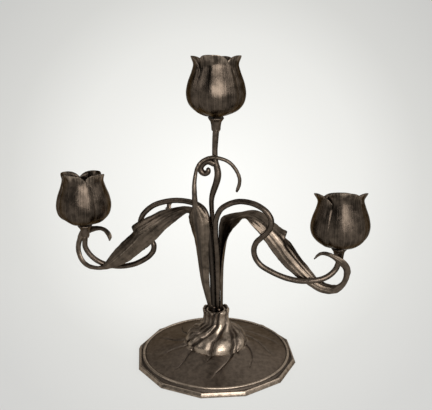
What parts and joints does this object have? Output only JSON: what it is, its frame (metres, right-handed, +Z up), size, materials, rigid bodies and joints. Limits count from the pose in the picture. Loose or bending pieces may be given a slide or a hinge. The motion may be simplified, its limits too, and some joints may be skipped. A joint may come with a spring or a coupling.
{
  "type": "tulip candelabra",
  "caption": "Freestanding candelabra of patinated metal with tulip-shaped candle cups on curling leaf and stem arms over a fluted round foot.",
  "frame": {"origin": "where the foot's axis meets the table", "axes": "+Z up along the foot's axis, the two arms along X with the shorter arm at +X, and the front leaf with its loop tendril facing -Y"},
  "size_m": [0.3029, 0.1574, 0.2954],
  "materials": {
    "bronze": "dark brown patina over bronze, rubbed bright on the crests",
    "cast_bronze": "satin dark patina on a casting",
    "worn_bronze": "dark patina, brushed along the leaf",
    "socket_brass": "dull dark brass",
    "steel": "plain steel",
    "felt": "felt"
  },
  "bodies": {
    "root": {"foot": "cast_bronze", "base_felt": "felt", "tie_stud": "steel", "tie_washer": "steel", "tie_nut": "steel", "bundle_ferrule": "worn_bronze", "centre_stem": "bronze", "right_stem": "bronze", "left_stem": "bronze", "stem_scroll": "bronze", "right_leaf": "worn_bronze", "left_leaf": "worn_bronze", "front_leaf": "worn_bronze", "stem_bridge": "worn_bronze", "top_receptacle": "bronze", "top_candle_cup": "socket_brass", "top_petal_1": "bronze", "top_petal_2": "bronze", "top_petal_3": "bronze", "top_petal_4": "bronze", "left_receptacle": "bronze", "left_candle_cup": "socket_brass", "left_petal_1": "bronze", "left_petal_2": "bronze", "left_petal_3": "bronze", "left_petal_4": "bronze", "right_receptacle": "bronze", "right_candle_cup": "socket_brass", "right_petal_1": "bronze", "right_petal_2": "bronze", "right_petal_3": "bronze", "right_petal_4": "bronze"}
  },
  "joints": []
}
